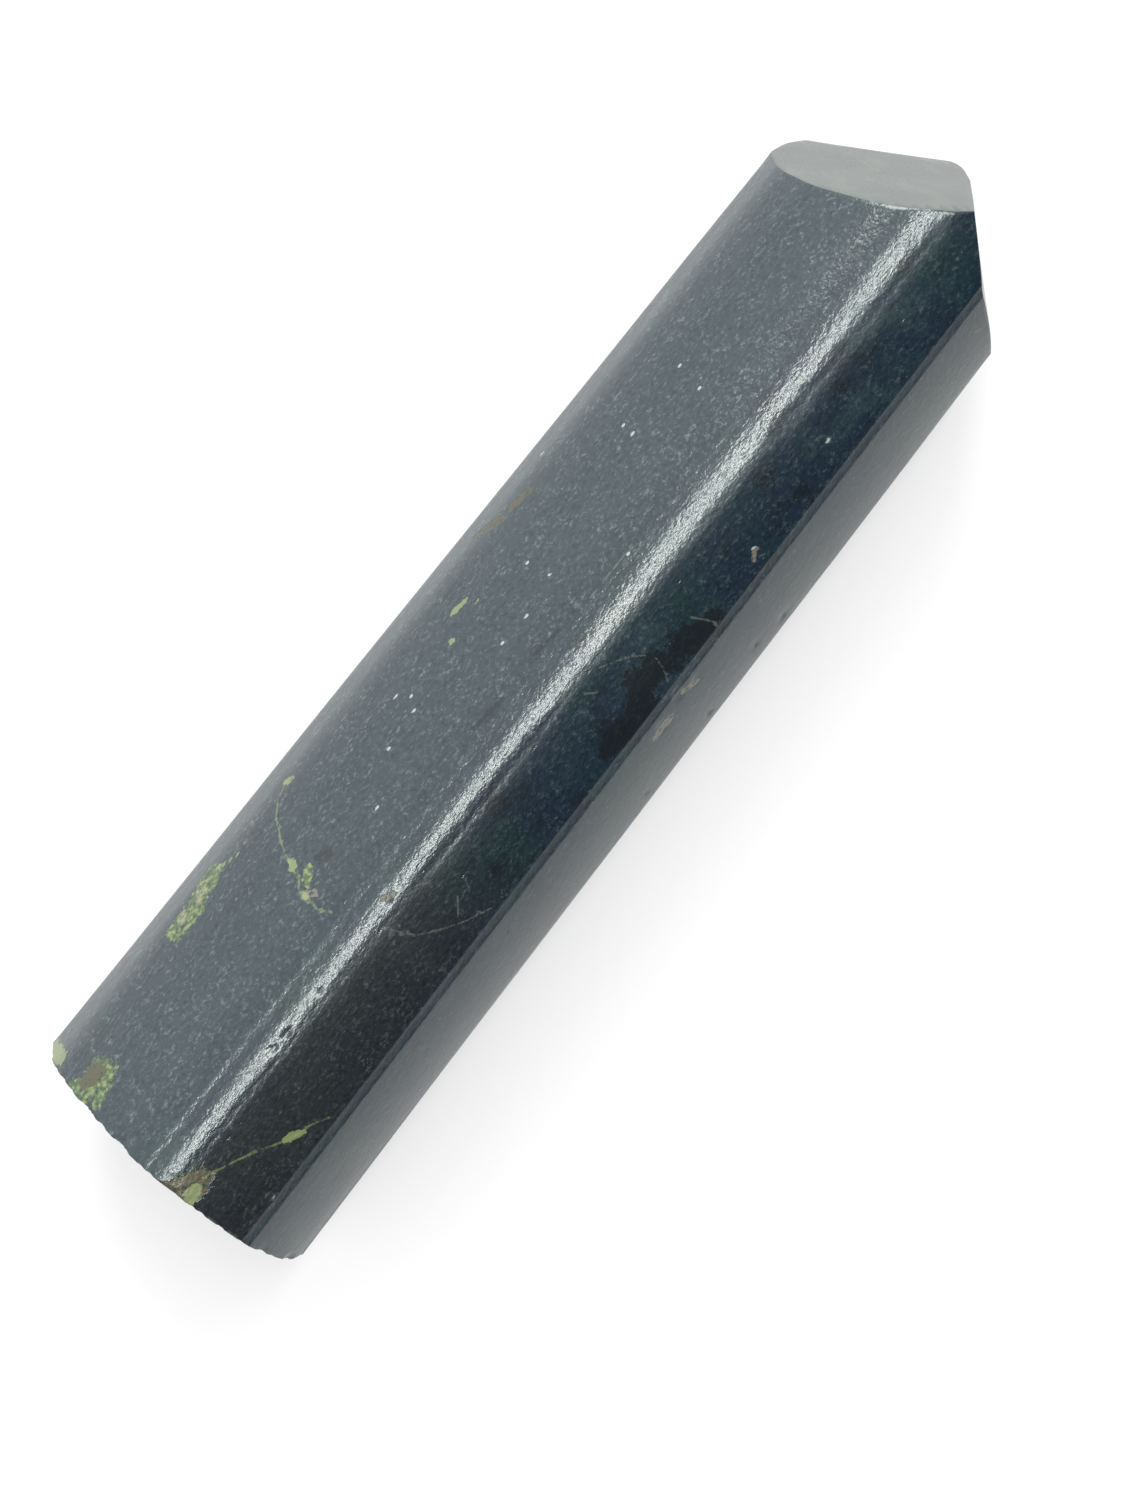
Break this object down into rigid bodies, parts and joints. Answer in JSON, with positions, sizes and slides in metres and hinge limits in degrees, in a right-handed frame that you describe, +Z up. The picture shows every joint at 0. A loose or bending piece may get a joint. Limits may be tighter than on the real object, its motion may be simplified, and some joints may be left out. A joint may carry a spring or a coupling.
{
  "type": "black tourmaline obelisk",
  "caption": "Polished blue-black tourmaline tower with long ground flats, one rounded side and a three-faceted point, lying on its resting flat",
  "frame": {"origin": "under the middle of the stone's box, on the surface that the stone lies on", "axes": "+X along the stone from the sawn base to the point, +Z up from the resting flat, +Y towards the rounded side"},
  "size_m": [0.0987, 0.0254, 0.0226],
  "materials": {
    "polished_tourmaline": "polished blue-black stone with fine grey speckle, green and ochre patches and thin pale veins"
  },
  "bodies": {
    "root": {"obelisk": "polished_tourmaline"}
  },
  "joints": []
}
